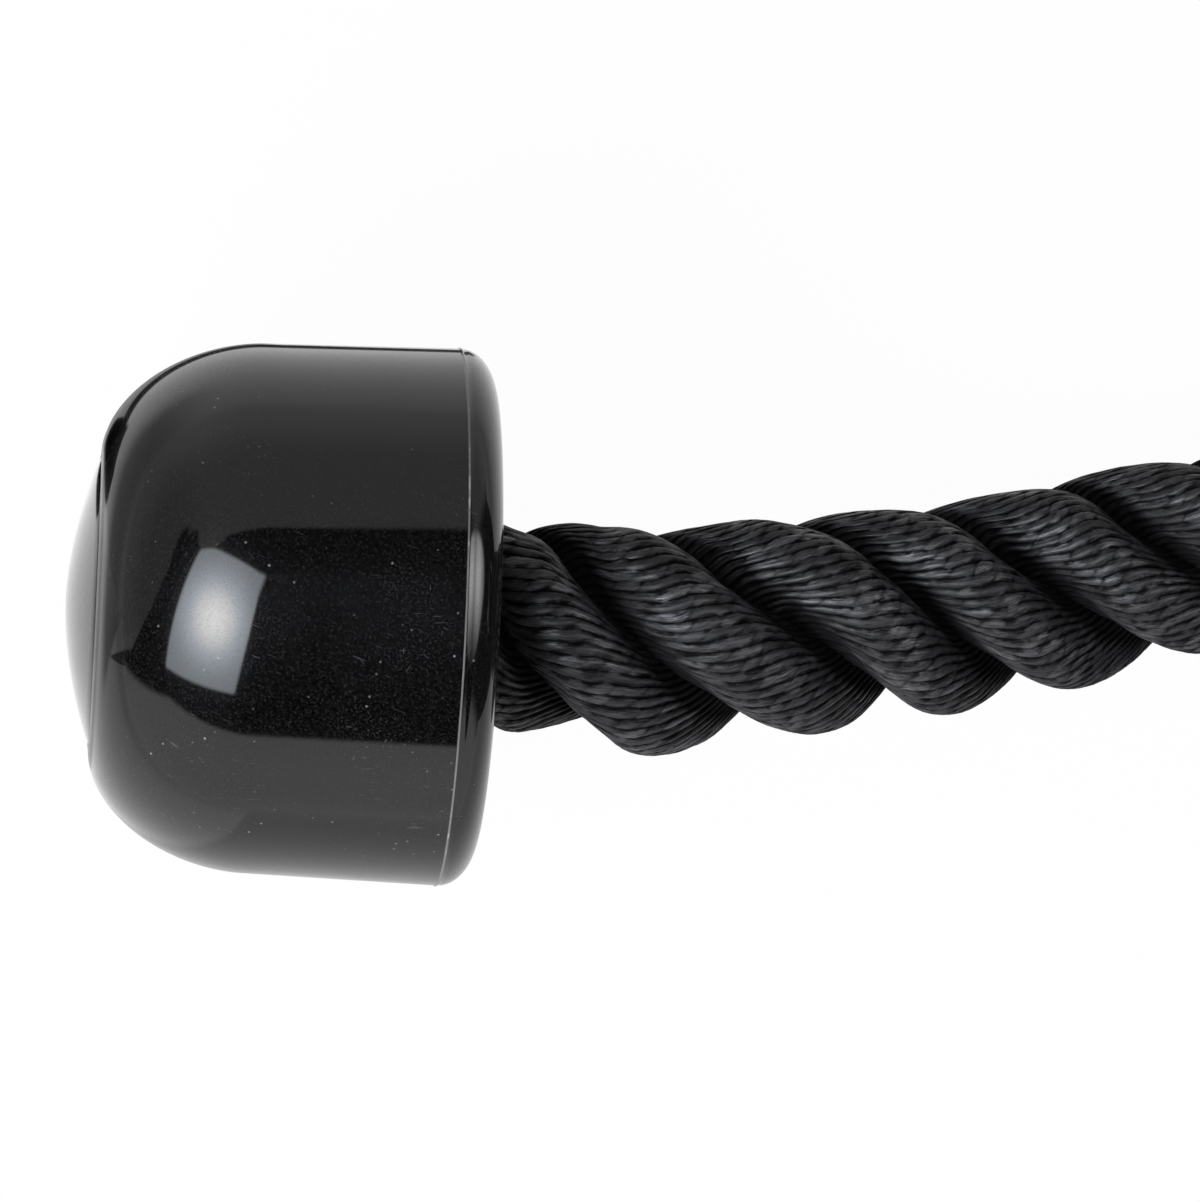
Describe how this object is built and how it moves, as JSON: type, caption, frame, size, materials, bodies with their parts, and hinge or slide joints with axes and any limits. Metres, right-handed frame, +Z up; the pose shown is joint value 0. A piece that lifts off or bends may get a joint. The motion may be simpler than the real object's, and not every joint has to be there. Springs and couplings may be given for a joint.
{
  "type": "triceps rope attachment",
  "caption": "Twisted rope folded in half with a heavy stopper on each end, held by a crimped sleeve and a yoke with a swivel eye, laid flat as a wishbone.",
  "frame": {"origin": "bottom centre of the box round the object without its two free rope legs, on the surface that it lies on", "axes": "+X from the stoppers towards the swivel eye, +Y towards leg b, +Z up"},
  "size_m": [0.4386, 0.2432, 0.074],
  "materials": {
    "stopper_plastic": "glossy moulded black",
    "rope": "black twisted synthetic yarn with a soft sheen",
    "chrome": "bright chrome plate",
    "zinc_steel": "zinc plated, satin",
    "aluminium": "plain, crimped"
  },
  "bodies": {
    "fold": {"rope_bight": "rope", "crimp_sleeve": "chrome", "thimble_bush": "zinc_steel", "yoke_bolt": "zinc_steel", "yoke_nut": "zinc_steel", "yoke_washer_lower": "zinc_steel", "yoke_washer_upper": "zinc_steel"},
    "yoke": {"yoke": "chrome", "swivel_washer": "zinc_steel"},
    "eye": {"swivel_eye": "chrome", "swivel_nut": "zinc_steel"},
    "leg_a": {"rope_leg_a": "rope", "rope_tail_a": "rope", "end_ferrule_a": "aluminium", "end_washer_a": "zinc_steel"},
    "stopper_a": {"stopper_body_a": "stopper_plastic", "end_plug_a": "stopper_plastic"},
    "leg_b": {"rope_leg_b": "rope", "rope_tail_b": "rope", "end_ferrule_b": "aluminium", "end_washer_b": "zinc_steel"},
    "stopper_b": {"stopper_body_b": "stopper_plastic", "end_plug_b": "stopper_plastic"}
  },
  "joints": [
    {"name": "yoke_swing", "type": "hinge", "parent": "fold", "child": "yoke", "pos_m": [0.10302, 0, 0.0312], "axis": [0, 0, 1], "range_deg": [-75, 75]},
    {"name": "eye_turn", "type": "hinge", "parent": "yoke", "child": "eye", "pos_m": [0.14252, 0, 0.0312], "axis": [1, 0, 0], "continuous": true},
    {"name": "leg_a_spread", "type": "hinge", "parent": "fold", "child": "leg_a", "pos_m": [0.03102, -0.01415, 0.0312], "axis": [0, 0, 1], "range_deg": [-8, 60], "deforming": ["rope_leg_a"]},
    {"name": "stopper_a_turn", "type": "hinge", "parent": "leg_a", "child": "stopper_a", "pos_m": [-0.16328, -0.0785, 0.03567], "axis": [-0.9595, -0.2643, 0.0976], "continuous": true},
    {"name": "leg_b_spread", "type": "hinge", "parent": "fold", "child": "leg_b", "pos_m": [0.03102, 0.01415, 0.0312], "axis": [0, 0, -1], "range_deg": [-8, 60], "deforming": ["rope_leg_b"]},
    {"name": "stopper_b_turn", "type": "hinge", "parent": "leg_b", "child": "stopper_b", "pos_m": [-0.16328, 0.0785, 0.03567], "axis": [-0.9595, 0.2643, 0.0976], "continuous": true}
  ]
}
